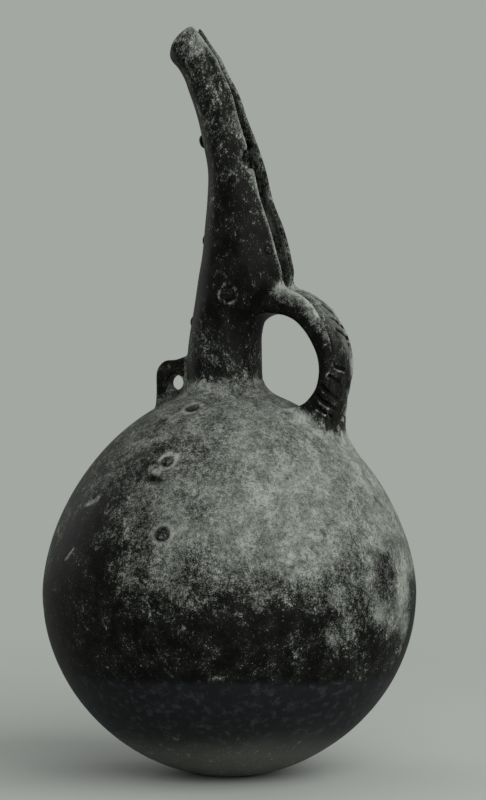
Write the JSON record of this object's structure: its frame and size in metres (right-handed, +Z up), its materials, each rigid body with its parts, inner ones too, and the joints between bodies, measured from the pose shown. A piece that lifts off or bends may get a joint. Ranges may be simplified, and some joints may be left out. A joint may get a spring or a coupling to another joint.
{
  "type": "spouted jug",
  "caption": "Round-bodied earthenware jug with a long neck open along its back as a spout, a broad strap handle, a pierced string lug and applied pellets.",
  "frame": {"origin": "middle of the jug's bounding box at the level of its base", "axes": "+Z up, handle towards +X, spout and string lug towards -X"},
  "size_m": [0.224, 0.224, 0.449],
  "materials": {
    "dark_burnished_slip": "near-black burnished slip on coarse earthenware, thinly speckled with pale lime",
    "lime_speckled_slip": "dark slip under a dense pale grey lime incrustation, matt",
    "worn_burnished_slip": "dark burnished slip worn smooth and greyer on the high places"
  },
  "bodies": {
    "root": {"base_bowl": "dark_burnished_slip", "shoulder_dome": "lime_speckled_slip", "neck_tube": "dark_burnished_slip", "open_spout": "dark_burnished_slip", "strap_handle": "worn_burnished_slip", "string_lug": "worn_burnished_slip", "body_pellet_near_1": "worn_burnished_slip", "body_pellet_near_2": "worn_burnished_slip", "body_pellet_near_3": "worn_burnished_slip", "body_pellet_far_1": "worn_burnished_slip", "body_pellet_far_2": "worn_burnished_slip", "body_pellet_far_3": "worn_burnished_slip", "neck_pellet_near_1": "worn_burnished_slip", "neck_pellet_near_2": "worn_burnished_slip", "neck_pellet_near_3": "worn_burnished_slip", "neck_pellet_near_4": "worn_burnished_slip", "neck_pellet_far_1": "worn_burnished_slip", "neck_pellet_far_2": "worn_burnished_slip", "neck_pellet_far_3": "worn_burnished_slip", "neck_pellet_far_4": "worn_burnished_slip", "front_pellet_1": "worn_burnished_slip", "front_pellet_2": "worn_burnished_slip", "front_pellet_3": "worn_burnished_slip"}
  },
  "joints": []
}
